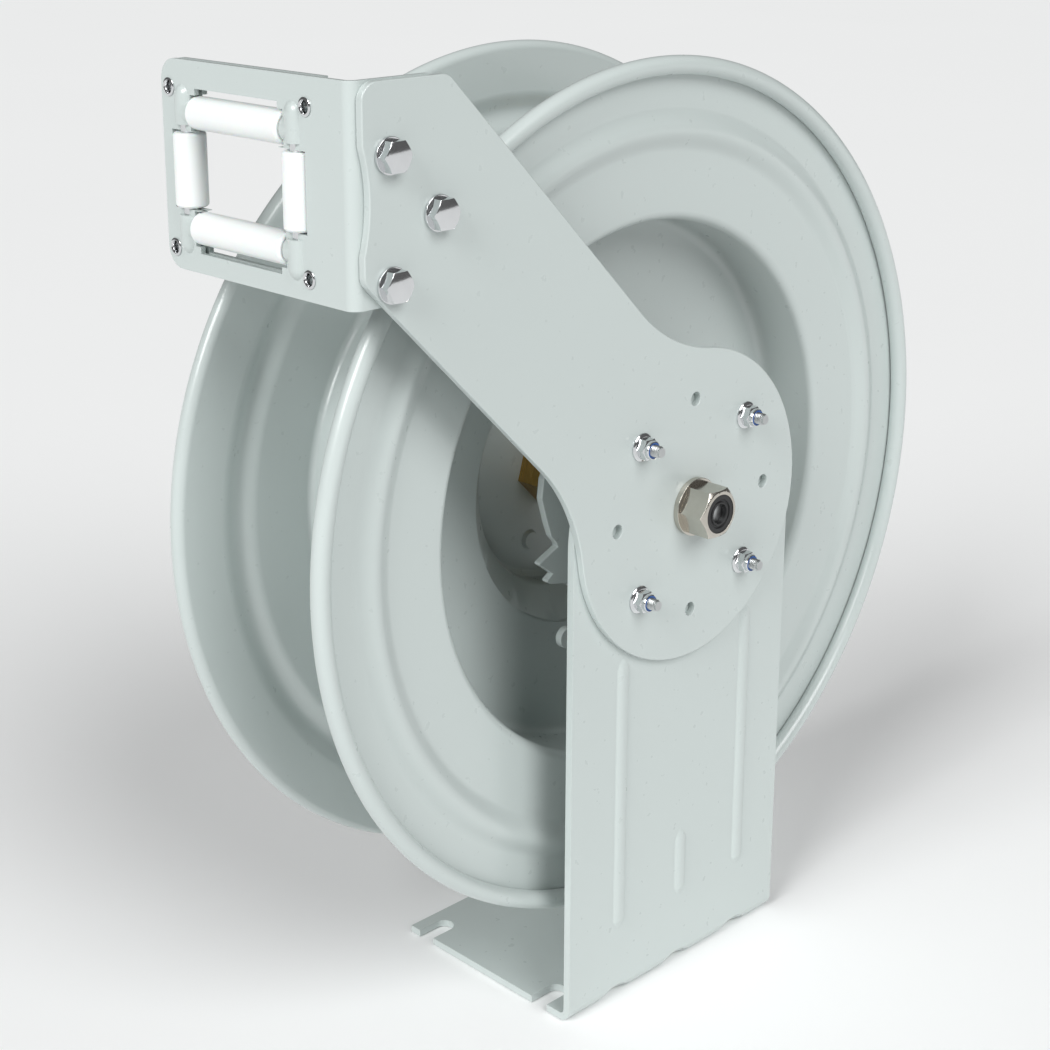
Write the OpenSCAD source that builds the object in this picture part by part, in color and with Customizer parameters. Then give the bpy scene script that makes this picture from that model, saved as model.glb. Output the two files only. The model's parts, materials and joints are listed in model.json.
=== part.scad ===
// Spring-rewind hose reel on a single pedestal.
// An open drum between two stamped discs turns on a fixed axle at the top of
// one bent-plate pedestal. A guide arm clamped round the axle carries a hose
// guide with four rollers. The axle lies along X with the pedestal on the +X
// side, the hose leaves towards -Y, and Z is up. The origin is the centre of
// the four foot slots, on the underside of the base. Sizes are in millimetres.

/* [Pedestal] */
// Height of the axle above the floor
axle_z = 264; // [240:1:330]
// Width of the post and of the base
post_w = 165; // [150:1:200]
// Thickness of the pedestal's plate
plate_t = 4; // [3:0.5:8]
// Inside radius of the plate's bend
bend_r = 3; // [2:0.5:6]
// Distance between the slot centres along the axle
slot_pitch = 88; // [70:1:120]
// Width of a foot slot
slot_w = 11; // [8:0.5:14]
// Depth of a foot slot from the plate's edge
slot_l = 18.5; // [14:0.5:24]
// Slot centre to the base's free end
base_end = 12.7; // [12:0.1:30]
// Slot centre to the post's outer face
post_end = 21.7; // [18:0.1:40]
// Distance between the post's pressed ribs
rib_pitch = 48; // [40:1:56]
// Height of the pressed ribs
rib_h = 1.6; // [1:0.1:2.5]
// Radius of the pressed darts in the bend
dart_r = 30; // [20:1:40]
// Depth of the pressed darts
dart_h = 2; // [1:0.1:2.5]

/* [Guide arm] */
// Thickness of the arm's plate
arm_t = 4; // [3:0.5:6]
// Width of the arm's straight part
arm_w = 92; // [80:1:110]
// Radius of the arm's round clamping end
arm_r = 81; // [78:1:95]
// Circle of the eight index holes
index_pcd = 112; // [100:1:130]
// Radius of the concave edges beside the clamping end
arm_fillet = 95; // [60:1:110]
// Clamp stud size
stud_d = 6; // [5:1:8]

/* [Hose guide] */
// Height of the guide's centre above the axle
guide_z = 181; // [170:1:220]
// Front face of the guide, forward of the axle
guide_y = 215; // [205:1:250]
// Width between the upright roller axes
guide_w = 78.5; // [70:0.5:90]
// Height between the level roller axes
guide_h = 51.7; // [44:0.1:70]
// Thickness of the guide's two plates
guide_t = 2.5; // [2:0.5:3]
// Gap between the guide's two plates
guide_gap = 2; // [1:0.5:3]
// Roller diameter
roller_d = 15; // [13:0.5:17]
// Roller pin diameter
pin_d = 8; // [6:0.5:9]
// Height of the guide bracket
bracket_h = 95; // [90:1:130]
// Bracket bolt size
bolt_d = 8; // [6:1:10]

/* [Drum] */
// Outside diameter over the rolled rims
disc_d = 445; // [420:1:480]
// Distance between the planes of the two rims
drum_w = 106; // [96:1:130]
// Clear gap between the post and the rolled rim
drum_gap = 15.3; // [10:0.1:30]
// Thickness of the drum's sheet
sheet_t = 1.5; // [1:0.1:2]
// Radius of the rolled rim
rim_r = 4.7; // [3.5:0.1:7]
// Radius of the stiffening bead's centre line
bead_c = 186; // [172:1:194]
// Width of the stiffening bead
bead_w = 20; // [14:1:26]
// Height of the stiffening bead
bead_h = 4; // [2:0.5:6]
// Outside diameter of the winding barrel
barrel_d = 284; // [270:1:310]
// Radius of the lip where a disc turns into the barrel
lip_r = 5; // [3:0.5:8]
// Depth of the post-side recess below the rim's plane
recess_d = 38; // [30:1:44]
// Further drop of the recess floor towards its middle
floor_drop = 7; // [4:0.5:10]
// Radius of the opening in the recess floor
floor_r = 82; // [78:1:90]
// Radius of the hub well
well_r = 64; // [58:1:70]
// Depth of the well's floor below the post-side rim's plane
well_d = 74; // [68:1:80]

/* [Axle and spring] */
// Diameter of the axle
axle_d = 20; // [16:1:22]
// Diameter of the axle's threaded end
thread_d = 16; // [12:1:18]
// Radial running clearance on the axle, the rollers and the pawl
fit = 0.05; // [0.02:0.01:0.1]
// Width of the swivel's hexagon across its flats
swivel_af = 42; // [36:1:50]
// Outside radius of the spring case
case_r = 112; // [100:1:120]
// Width of the spring strip
strip_w = 22; // [16:1:24]
// Turns of the power spring
strip_turns = 7; // [4:1:10]

/* [Ratchet] */
// Radius over the ratchet's teeth
ratchet_r = 72; // [68:1:74]
// Radius at the foot of the teeth
ratchet_foot = 57; // [50:1:58]
// Number of pairs of ratchet teeth
teeth = 4; // [3:1:4]
// Thickness of the ratchet and of the pawl
ratchet_t = 4; // [3:0.5:6]
// Angle from the pawl's resting place to its place in a tooth
pawl_swing = 30; // [24:1:36]

/* [Hidden] */
$fn = 96;

paint = "#d3dbd6";
zinc = "#b9bcb8";
chrome = "#d8dadb";
nickel = "#c9c3b2";
nylon = "#e8f1f4";
black_nylon = "#1d1e20";
brass = "#a8875a";
spring_steel = "#5d6670";
rubber = "#222222";

// places along the axle
post_x = slot_pitch/2 + post_end;
post_in = post_x - plate_t;
arm_out = post_x + arm_t;
top_drop = 6;
near_rim = post_in - drum_gap - rim_r;
far_rim = near_rim - drum_w;
drum_mid = (near_rim + far_rim)/2;
barrel_r = barrel_d/2;
wall_r = barrel_r - sheet_t;
floor_x = near_rim - recess_d;
well_x = near_rim - well_d;
case_back = well_x - sheet_t - 1.5;
case_gap = 1.5;
nut_h = 15;
insert_h = 3.5;
case_depth = sheet_t + strip_w + 2*case_gap;
cover_x = case_back - case_depth;
ratchet_x = near_rim - 19;
nose_x = ratchet_x + ratchet_t;
clip_t = 1.5;
thrust_t = 2;
bush_l = 10;
bush_x = cover_x - 2 - sheet_t;
shaft_end = bush_x - 2 - thrust_t - clip_t - 6;
corner_r = 6;
floor_a = atan(floor_drop/(wall_r - corner_r - floor_r));
web_gap = 0.1;

// places across the axle
guide_mid_y = -guide_y + guide_t + guide_gap/2;
roller_r = roller_d/2;
pin_r = pin_d/2;
pocket_t = 2;
upright_l = guide_h - roller_d - 3;
level_l = guide_w - roller_d + 1.5;
pin_out = guide_h/2 + roller_r + 2.8;
rivet_x = guide_w/2 + 9.1;
rivet_z = guide_h/2 + 10.4;
bracket_x0 = drum_mid - rivet_x - 6;
bolt_y = guide_y - 17;
bolt_step = 26.5;
bolt_z = guide_z - 9;
bolt_span = 54;
stud_r = stud_d/2;
stud_gap = 0.5;
pawl_at = [-12, -88];
pawl_eye = 8;
pivot_r = 4;
tail_at = [-45, -72];
tail_eye = 5.5;
anchor_at = tail_at + [0, 22];
tooth_face = 201;
spring_x = ratchet_x + ratchet_t + 3.5;

// draws its children with local X, Y, Z along the object's Y, Z, X, from the axle at x
module on_axle(x) {
    translate([x, 0, axle_z])
        rotate([90, 0, 90])
            children();
}

// a ring of outside radius ro, inside radius ri and length l, along local Z
module ring(ro, ri, l) {
    difference() {
        cylinder(r = ro, h = l);
        translate([0, 0, -1])
            cylinder(r = ri, h = l + 2);
    }
}

// a hexagonal prism, width af across its flats
module hexagon(af, l) {
    cylinder(r = af/sqrt(3), h = l, $fn = 6);
}

function unit(v) = v/norm(v);
function left_of(a, b) = let (d = unit(b - a)) [-d[1], d[0]];
function before(p, i) = i > 0 ? left_of(p[i - 1], p[i]) : left_of(p[0], p[1]);
function after(p, i) = i < len(p) - 1 ? left_of(p[i], p[i + 1]) : before(p, i);
function mitre(p, i, t) = let (a = before(p, i), b = after(p, i)) p[i] + t*(a + b)/(1 + a*b);

// points on the arc about c of radius r from the angle a0 to a1
function arc(c, r, a0, a1, n) = [for (i = [0:n]) c + r*[cos(a0 + (a1 - a0)*i/n), sin(a0 + (a1 - a0)*i/n)]];

// points that round the corner at b, between the edges to a and to c, to the radius r
function rounded(a, b, c, r) =
    let (
        u = unit(a - b),
        w = unit(c - b),
        half = acos(u*w)/2,
        centre = b + unit(u + w)*r/sin(half),
        from = b + u*r/tan(half) - centre,
        start = atan2(from[1], from[0])
    )
    arc(centre, r, start, start + 180 - 2*half, 8);

function turned(p, a) = [p[0]*cos(a) - p[1]*sin(a), p[0]*sin(a) + p[1]*cos(a)];

// the outline of a sheet of thickness t that follows the path p, on its left
module sheet_outline(p, t) {
    back = [for (i = [len(p) - 1:-1:0]) mitre(p, i, t)];
    polygon(concat(p, back));
}

// a bent sheet: the part of a ring about c between angles a0 and a1, less than 180 apart
module bend(c, ro, ri, a0, a1) {
    reach = 2*ro;
    mid = (a0 + a1)/2;
    translate(c)
        intersection() {
            difference() {
                circle(r = ro);
                circle(r = ri);
            }
            polygon([[0, 0], for (a = [a0, mid, a1]) reach*[cos(a), sin(a)]]);
        }
}

// ---------------------------------------------------------------- pedestal

module foot_slots() {
    for (x = [-1, 1], side = [-1, 1])
        translate([x*slot_pitch/2, side*(post_w/2 - slot_l + slot_w/2), -1]) {
            cylinder(d = slot_w, h = plate_t + 2);
            translate([-slot_w/2, side > 0 ? 0 : -slot_l, 0])
                cube([slot_w, slot_l, plate_t + 2]);
        }
}

module bent_plate() {
    outer_r = bend_r + plate_t;
    rotate([90, 0, 0])
        translate([0, 0, -post_w/2])
            linear_extrude(post_w) {
                translate([-slot_pitch/2 - base_end, 0])
                    square([slot_pitch/2 + base_end + post_x - outer_r, plate_t]);
                translate([post_in, outer_r])
                    square([plate_t, axle_z - top_drop - outer_r]);
                bend([post_x - outer_r, outer_r], outer_r, bend_r, -90, 0);
            }
    post_top();
}

// the post's round end, hidden behind the arm
module post_top() {
    on_axle(post_in)
        translate([0, -top_drop])
            cylinder(r = post_w/2, h = plate_t);
}

function rib_y(i) = i*rib_pitch + 2;

module rib_shape(r, z0, z1) {
    taper = 6;
    translate([0, 0, z0 + taper])
        cylinder(r = r, h = z1 - z0 - 2*taper);
    translate([0, 0, z0])
        cylinder(r1 = r - rib_h - 0.1, r2 = r, h = taper);
    translate([0, 0, z1 - taper])
        cylinder(r1 = r, r2 = r - rib_h - 0.1, h = taper);
}

// the three pressed ribs: two long ones at the sides, a short one between them
module ribs(r) {
    axis_x = post_x + rib_h - plate_t*2;
    for (i = [-1, 1])
        translate([axis_x, rib_y(i), 0])
            rib_shape(r, 40, axle_z - sqrt(pow(arm_r, 2) - pow(abs(rib_y(i)) - 5, 2)) - 0.3);
    translate([axis_x, rib_y(0), 0])
        rib_shape(r, 40, 81);
}

// a cylinder across the bend's corner that presses in by dart_h
module dart(r, i) {
    outer_r = bend_r + plate_t;
    out = (outer_r + dart_r - dart_h)/sqrt(2);
    translate([post_x - outer_r + out, rib_y(i), outer_r - out])
        rotate([0, 45, 0])
            translate([0, 0, -60])
                cylinder(r = r, h = 120);
}

// the ridges that the darts raise on the inside, kept within the plate's outer skin
module darts_inside() {
    skin = 1;
    r = bend_r + plate_t;
    reach = 40;
    intersection() {
        for (i = [-1:1])
            dart(dart_r + plate_t, i);
        rotate([90, 0, 0])
            translate([0, 0, -post_w/2])
                linear_extrude(post_w) {
                    translate([post_x - r - reach, skin])
                        square([reach, r - skin + reach]);
                    translate([post_x - r - skin, r])
                        square([r, reach]);
                    translate([post_x - r, r])
                        circle(r = r - skin);
                }
    }
}

module pedestal() {
    color(paint)
        difference() {
            union() {
                bent_plate();
                intersection() {
                    ribs(2*plate_t);
                    translate([post_in + plate_t/2, -post_w/2, 0])
                        cube([plate_t + rib_h, post_w, axle_z]);
                }
                darts_inside();
            }
            ribs(plate_t);
            for (i = [-1:1])
                dart(dart_r, i);
            foot_slots();
            on_axle(post_in - 1)
                cylinder(d = thread_d + 0.4, h = plate_t + 2);
            on_axle(post_in - 1)
                at_studs()
                    cylinder(r = stud_r + stud_gap, h = plate_t + 2);
        }
}

// ---------------------------------------------------------------- guide arm

module at_studs() {
    for (a = [45:90:315])
        rotate(a)
            translate([index_pcd/2, 0])
                children();
}

// The outline in the plane of the arm, seen from the axle: a round end with a
// band that leaves it at 45 degrees, forwards and up. The band's own frame has
// Y along it.
module arm_outline() {
    half = arm_w/2;
    reach = half*sqrt(2);
    front = 3 - guide_y;
    top = guide_z + bracket_h/2 + 1;
    round_r = 8;
    upper = half + arm_fillet;
    upper_v = sqrt(pow(arm_r + arm_fillet, 2) - pow(upper, 2));
    upper_a = atan2(upper_v, upper);
    lower_a = 180 - upper_a;
    wave_r = 79;
    wave_a = acos(1 - 3.3/wave_r);
    back = [reach - top, top];
    nose = [front, top];
    chin = [front, -reach - front];
    end = arc([0, 0], arm_r, lower_a, upper_a + 360, 90);
    above = arc([upper, upper_v], arm_fillet, 180 + upper_a, 180, 18);
    below = arc([-upper, upper_v], arm_fillet, 0, lower_a - 180, 18);
    polygon(concat(
        [for (p = concat(end, above)) turned(p, 45)],
        rounded([0, reach], back, nose, round_r),
        rounded(back, nose, chin, round_r),
        arc([front - wave_r + 3.3, guide_z], wave_r, wave_a, -wave_a, 12),
        rounded(nose, chin, [0, -reach], round_r),
        [for (p = below) turned(p, 45)]
    ));
}

module at_bracket_bolts() {
    for (p = [[-bolt_y, bolt_z - bolt_span/2], [-bolt_y, bolt_z + bolt_span/2], [bolt_step - bolt_y, bolt_z]])
        translate(p)
            children();
}

module guide_arm() {
    color(paint)
        difference() {
            on_axle(post_x)
                linear_extrude(arm_t)
                    arm_outline();
            on_axle(post_x - 1) {
                cylinder(d = thread_d + 0.4, h = arm_t + 2);
                for (a = [0:45:315])
                    rotate(a)
                        translate([index_pcd/2, 0])
                            cylinder(r = stud_r + stud_gap, h = arm_t + 2);
                at_bracket_bolts()
                    cylinder(d = bolt_d + 0.6, h = arm_t + 2);
            }
        }
}

module clamp_studs() {
    color(zinc)
        on_axle(0)
            at_studs() {
                translate([0, 0, post_in - 3.5])
                    cylinder(r = stud_r*2.1, h = 3.5);
                translate([0, 0, post_in - 1])
                    cylinder(r = stud_r, h = arm_out - post_in + 14);
            }
}

module clamp_nuts() {
    color(chrome)
        on_axle(arm_out)
            at_studs()
                difference() {
                    union() {
                        cylinder(r = 7.1, h = 1.5);
                        hexagon(10, 6);
                        translate([0, 0, 6])
                            cylinder(r = 4.6, h = 2);
                    }
                    translate([0, 0, -1])
                        cylinder(r = stud_r + 0.02, h = 12);
                    translate([0, 0, 5.6])
                        cylinder(r = 4.1, h = 4);
                }
}

module clamp_nut_inserts() {
    color("steelblue")
        on_axle(arm_out + 5.6)
            at_studs()
                ring(4.08, stud_r + 0.02, 2.2);
}

// ---------------------------------------------------------------- axle

module main_shaft() {
    collar_l = 5;
    feed_r = 5;
    color(zinc)
        difference() {
            union() {
                on_axle(shaft_end)
                    cylinder(d = axle_d, h = post_in - collar_l - shaft_end + 0.01);
                on_axle(post_in - collar_l)
                    cylinder(r = 16, h = collar_l);
                on_axle(post_in - 0.01)
                    cylinder(d = thread_d, h = arm_out - post_in + 3 + nut_h - insert_h);
            }
            on_axle(shaft_end - 1)
                cylinder(r = feed_r, h = well_x + 13 - shaft_end + 1);
            on_axle(well_x + 9)
                rotate([90, 0, 0])
                    translate([0, 0, -axle_d])
                        cylinder(r = 3.5, h = 2*axle_d);
            on_axle(shaft_end + 6)
                ring(axle_d, axle_d/2 - 1, clip_t + 0.1);
            on_axle(cover_x + case_gap + 2)
                translate([axle_d/2 - 2.5, -3, 0])
                    cube([axle_d, 6, strip_w - 4]);
        }
}

module shaft_washer() {
    color(nickel)
        on_axle(arm_out)
            ring(15, thread_d/2 + 0.3, 3);
}

// a lock nut whose nylon insert closes all but the middle of its outer end
module shaft_nut() {
    across = 24;
    soft_r = 12.6;
    color(nickel)
        on_axle(arm_out + 3)
            difference() {
                intersection() {
                    hexagon(across, nut_h);
                    union() {
                        cylinder(r = across, h = nut_h - 3);
                        translate([0, 0, nut_h - 3])
                            cylinder(r1 = soft_r + 3, r2 = soft_r - 1.5, h = 3);
                    }
                }
                translate([0, 0, -1])
                    cylinder(r = thread_d/2 + 0.02, h = nut_h);
                translate([0, 0, nut_h - insert_h])
                    cylinder(r = 10, h = insert_h + 1);
            }
}

module shaft_nut_insert() {
    color(black_nylon)
        on_axle(arm_out + 3 + nut_h - insert_h + 0.02)
            difference() {
                ring(9.98, 5, insert_h - 0.3);
                translate([0, 0, insert_h - 1])
                    ring(7.4, 6.2, 2);
            }
}

module thrust_washer() {
    color(black_nylon)
        on_axle(shaft_end + 6 + clip_t + 0.1)
            ring(15, axle_d/2 + fit, thrust_t - 0.1);
}

module shaft_clip() {
    color(spring_steel)
        on_axle(shaft_end + 6.05)
            difference() {
                ring(13, axle_d/2 - 0.95, clip_t);
                translate([0, -4, -1])
                    cube([20, 8, clip_t + 2]);
            }
}

// the fixed inlet on the axle's far end: a hexagon nipple for the supply hose
module inlet_fitting() {
    color(brass)
        on_axle(shaft_end)
            mirror([0, 0, 1])
                difference() {
                    union() {
                        translate([0, 0, -14])
                            cylinder(r = 4.95, h = 14.01);
                        hexagon(22, 8);
                        translate([0, 0, 8])
                            cylinder(r = 10.4, h = 14);
                    }
                    translate([0, 0, -15])
                        cylinder(r = 3.5, h = 40);
                }
}

// ---------------------------------------------------------------- hose guide

// draws its children at each corner pocket, mirrored so that they lie outwards
module at_corners() {
    for (sx = [-1, 1], sz = [-1, 1])
        translate([drum_mid, guide_mid_y, axle_z + guide_z])
            mirror([sx < 0 ? 1 : 0, 0, 0])
                mirror([0, 0, sz < 0 ? 1 : 0])
                    children();
}

// an elbow-shaped channel for the ends of an upright and of a level pin
module elbow(r) {
    x = guide_w/2;
    z = guide_h/2;
    low = z - roller_r + 2;
    high = pin_out - 3;
    translate([x, 0, low])
        cylinder(r = r, h = high - low);
    translate([x, 0, high])
        sphere(r = r);
    translate([level_l/2 + 0.8, 0, z])
        rotate([0, 90, 0])
            cylinder(r = r, h = x - level_l/2 - 0.8);
    translate([x, 0, z])
        sphere(r = r);
}

module pin_channels() {
    r = pin_r + 0.02;
    at_corners() {
        translate([guide_w/2, 0, 0])
            cylinder(r = r, h = pin_out + 0.1);
        translate([0, 0, guide_h/2])
            rotate([0, 90, 0])
                cylinder(r = r, h = guide_w/2);
    }
}

// the opening round the rollers: a cross with four covered corners
module guide_window() {
    level_open = roller_d + 1;
    z = guide_h/2;
    at_corners() {
        translate([-1, -20, -1])
            cube([guide_w/2 + roller_r + 1.75, 40, upright_l/2 + 1.75]);
        translate([-1, -20, -1])
            cube([level_l/2 - 2, 40, z + roller_r + 4.5]);
        translate([-1, -20, z - level_open/2])
            cube([level_l/2 + 1.6, 40, level_open]);
    }
}

module at_rivets() {
    for (sx = [-1, 1], sz = [-1, 1])
        translate([drum_mid + sx*rivet_x, -guide_y, axle_z + guide_z + sz*rivet_z])
            rotate([-90, 0, 0])
                children();
}

// a rounded plate in the plane of the guide, its front face at y
module guide_plate(x0, x1, y) {
    corner = 10;
    z0 = axle_z + guide_z + 1.5 - bracket_h/2;
    translate([0, y + guide_t, 0])
        rotate([90, 0, 0])
            linear_extrude(guide_t) {
                translate([x0 + corner, z0])
                    square([x1 - x0 - corner, bracket_h]);
                translate([x0, z0 + corner])
                    square([corner + 1, bracket_h - 2*corner]);
                for (z = [z0 + corner, z0 + bracket_h - corner])
                    translate([x0 + corner, z])
                        circle(r = corner);
            }
}

// the pockets pressed out of a plate, on the side of the guide's middle that side names
module pockets(side) {
    intersection() {
        at_corners()
            elbow(pin_r + pocket_t);
        translate([-300, side < 0 ? guide_mid_y - 60 : guide_mid_y + guide_gap/2, 0])
            cube([600, 60 - guide_gap/2, 2*axle_z + guide_z]);
    }
}

module guide_bracket() {
    outer_r = bend_r + guide_t;
    z0 = axle_z + guide_z + 1.5 - bracket_h/2;
    flange_l = guide_y - bolt_y + bolt_step + 13;
    slope = 14;
    color(paint)
        difference() {
            union() {
                guide_plate(bracket_x0, post_x - outer_r, -guide_y);
                pockets(-1);
                translate([0, 0, z0])
                    linear_extrude(bracket_h)
                        bend([post_x - outer_r, outer_r - guide_y], outer_r, bend_r, -90, 0);
                translate([post_x - guide_t, 0, 0])
                    rotate([90, 0, 90])
                        linear_extrude(guide_t)
                            polygon([
                                [outer_r - guide_y, z0],
                                [flange_l - guide_y, z0],
                                [flange_l - guide_y, z0 + bracket_h - slope],
                                [flange_l - guide_y - slope, z0 + bracket_h],
                                [outer_r - guide_y, z0 + bracket_h]
                            ]);
            }
            guide_window();
            pin_channels();
            at_rivets()
                translate([0, 0, -1])
                    cylinder(r = 3.2, h = 2*guide_t + guide_gap + 2);
            on_axle(post_x - guide_t - 1)
                at_bracket_bolts()
                    cylinder(d = bolt_d + 0.6, h = guide_t + 2);
        }
}

module guide_back_plate() {
    color(paint)
        difference() {
            union() {
                guide_plate(bracket_x0, drum_mid + rivet_x + 7, guide_t + guide_gap - guide_y);
                pockets(1);
            }
            guide_window();
            pin_channels();
            at_rivets()
                translate([0, 0, -1])
                    cylinder(r = 3.2, h = 2*guide_t + guide_gap + 2);
        }
}

// open tubular rivets, flared at both ends
module guide_rivets() {
    stack = 2*guide_t + guide_gap;
    color(chrome)
        at_rivets()
            difference() {
                union() {
                    cylinder(r = 3.15, h = stack);
                    translate([0, 0, -0.9])
                        cylinder(r1 = 3.7, r2 = 4.1, h = 0.9);
                    translate([0, 0, stack])
                        cylinder(r1 = 4.1, r2 = 3.7, h = 0.9);
                    translate([0, 0, guide_t + 0.02])
                        cylinder(r = 4.6, h = guide_gap - 0.04);
                }
                translate([0, 0, -2])
                    cylinder(r = 2.4, h = stack + 4);
                translate([0, 0, -1])
                    cylinder(r1 = 3.5, r2 = 2.4, h = 1.6);
                translate([0, 0, stack - 0.6])
                    cylinder(r1 = 2.4, r2 = 3.5, h = 1.6);
            }
}

module upright_pins() {
    color(chrome)
        for (s = [-1, 1])
            translate([drum_mid + s*guide_w/2, guide_mid_y, axle_z + guide_z - pin_out])
                cylinder(r = pin_r, h = 2*pin_out);
}

module level_pins() {
    l = guide_w - pin_d - 0.5;
    color(chrome)
        for (s = [-1, 1])
            translate([drum_mid - l/2, guide_mid_y, axle_z + guide_z + s*guide_h/2])
                rotate([0, 90, 0])
                    cylinder(r = pin_r, h = l);
}

// a hollow nylon roller of length l, standing along local Z about its middle
module roller(l) {
    edge = 1;
    color(nylon)
        translate([0, 0, -l/2])
            difference() {
                union() {
                    translate([0, 0, edge])
                        cylinder(r = roller_r, h = l - 2*edge);
                    cylinder(r1 = roller_r - edge, r2 = roller_r, h = edge);
                    translate([0, 0, l - edge])
                        cylinder(r1 = roller_r, r2 = roller_r - edge, h = edge);
                }
                translate([0, 0, -1])
                    cylinder(r = pin_r + fit, h = l + 2);
            }
}

module level_roller(s) {
    translate([drum_mid, guide_mid_y, axle_z + guide_z + s*guide_h/2])
        rotate([0, 90, 0])
            roller(level_l);
}

module upright_roller(s) {
    translate([drum_mid + s*guide_w/2, guide_mid_y, axle_z + guide_z])
        roller(upright_l);
}

module top_roller() {
    level_roller(1);
}

module bottom_roller() {
    level_roller(-1);
}

module near_roller() {
    upright_roller(1);
}

module far_roller() {
    upright_roller(-1);
}

module bracket_bolts() {
    color(chrome)
        on_axle(0)
            at_bracket_bolts() {
                translate([0, 0, post_x - guide_t - 10])
                    cylinder(r = bolt_d/2, h = arm_out - post_x + guide_t + 12);
                translate([0, 0, arm_out + 1.6])
                    rotate(15)
                        hexagon(1.625*bolt_d, 5.3);
            }
}

module bracket_washers() {
    color(chrome)
        on_axle(arm_out)
            at_bracket_bolts()
                ring(bolt_d, bolt_d/2 + 0.2, 1.6);
}

module bracket_nuts() {
    color(zinc)
        on_axle(post_x - guide_t - 6.8)
            at_bracket_bolts()
                difference() {
                    hexagon(1.625*bolt_d, 6.8);
                    translate([0, 0, -1])
                        cylinder(r = bolt_d/2 + 0.02, h = 9);
                }
}

// ---------------------------------------------------------------- drum

// the radius and height of the point where a floor of depth and slope a meets its corner
function floor_edge(depth, a) = [wall_r - corner_r*(1 - sin(a)), corner_r*(1 - cos(a)) - depth];
// the height of that floor's upper face at the radius r
function floor_y(r, depth, a) = let (e = floor_edge(depth, a)) e[1] - (e[0] - r)*tan(a);

// A disc and its half of the barrel, as a section: X is the radius, and Y the
// distance from the rim's plane, negative into the drum. depth is the recess
// floor's depth at the wall, inner the floor's inside radius and a its slope.
module spool_section(depth, inner, a) {
    r1 = disc_d/2 - rim_r;
    face = sheet_t - rim_r;
    arc_r = (bead_w*bead_w/4 + bead_h*bead_h)/(2*bead_h);
    arc_c = face + bead_h - arc_r;
    half = sqrt(arc_r*arc_r - pow(face - sheet_t/2 - arc_c, 2));
    translate([r1, 0])
        difference() {
            circle(r = rim_r);
            circle(r = rim_r - sheet_t);
        }
    translate([bead_c + half - 1.5, face - sheet_t])
        square([r1 - bead_c - half + 1.5, sheet_t]);
    translate([wall_r + lip_r, face - sheet_t])
        square([bead_c - half + 1.5 - wall_r - lip_r, sheet_t]);
    translate([bead_c, arc_c])
        intersection() {
            difference() {
                circle(r = arc_r);
                circle(r = arc_r - sheet_t);
            }
            translate([-bead_w, face - sheet_t - arc_c])
                square([2*bead_w, 2*bead_h + sheet_t]);
        }
    bend([wall_r + lip_r, face - lip_r], lip_r, lip_r - sheet_t, 90, 180);
    translate([wall_r, corner_r - depth])
        square([sheet_t, depth - corner_r + face - lip_r]);
    bend([wall_r - corner_r, corner_r - depth], corner_r + sheet_t, corner_r, a - 90, 0);
    sheet_outline([floor_edge(depth, a), [inner, floor_y(inner, depth, a)]], sheet_t);
}

module post_side_disc() {
    color(paint)
        on_axle(near_rim)
            rotate_extrude()
                spool_section(recess_d, floor_r, floor_a);
}

module far_side_disc() {
    inner = floor_r + 22;
    depth = drum_w - recess_d - 2*sheet_t - 3*web_gap;
    color(paint)
        difference() {
            on_axle(far_rim)
                mirror([0, 0, 1])
                    rotate_extrude()
                        spool_section(depth, inner, -floor_a);
            at_outlet()
                cylinder(r = outlet_r + 0.4, h = 200);
        }
}

// the pressed dish that carries the hub: a flange behind the recess floor, a cone and a well
module hub_dish() {
    under = -sheet_t/cos(floor_a) - web_gap;
    flange_r = floor_r + 16;
    cone_x = -recess_d - 22;
    spigot_r = 17;
    color(paint)
        difference() {
            on_axle(near_rim)
                rotate_extrude()
                    sheet_outline([
                        [flange_r, under + floor_y(flange_r, recess_d, floor_a)],
                        [floor_r - 1, under + floor_y(floor_r - 1, recess_d, floor_a)],
                        [well_r + 2, cone_x],
                        [well_r, cone_x - 3],
                        [well_r, 3 - well_d],
                        [well_r - 3, -well_d],
                        [spigot_r, -well_d]
                    ], sheet_t);
            at_outlet()
                cylinder(r = outlet_r + 0.4, h = 200);
            on_axle(well_x - 5)
                at_case_bolts()
                    cylinder(r = 3.3, h = 10);
        }
}

outlet_r = 7;
outlet_angle = 60;
outlet_x = well_x + 9;

// draws its children along the radial line of the outlet, from the axle outwards
module at_outlet() {
    on_axle(outlet_x)
        rotate(outlet_angle)
            rotate([0, 90, 0])
                children();
}

// the brass swivel: it turns on the axle with the drum and passes the fluid on
module swivel_body() {
    hex_l = ratchet_x - 6 - well_x;
    groove = 2.4;
    color(brass)
        difference() {
            union() {
                on_axle(well_x)
                    rotate(13.75)
                        hexagon(swivel_af, hex_l);
                on_axle(case_back)
                    cylinder(r = 16.98, h = well_x - case_back + 1);
                on_axle(well_x + hex_l - 1)
                    cylinder(r = 17, h = nose_x - well_x - hex_l + 1);
            }
            on_axle(case_back - 1)
                cylinder(r = axle_d/2 + fit, h = nose_x - case_back + 2);
            for (x = [well_x + 2.5, well_x + 14])
                on_axle(x)
                    cylinder(r = axle_d/2 + groove, h = 2.6);
            on_axle(well_x + 6.5)
                cylinder(r = axle_d/2 + 1.5, h = 5);
            at_outlet()
                cylinder(r = 4, h = 40);
            at_outlet()
                translate([0, 0, swivel_af/2 - 8])
                    cylinder(r = 6.02, h = 30);
            on_axle(ratchet_x - 6)
                at_ratchet_screws()
                    cylinder(r = 2, h = 20);
        }
}

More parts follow.
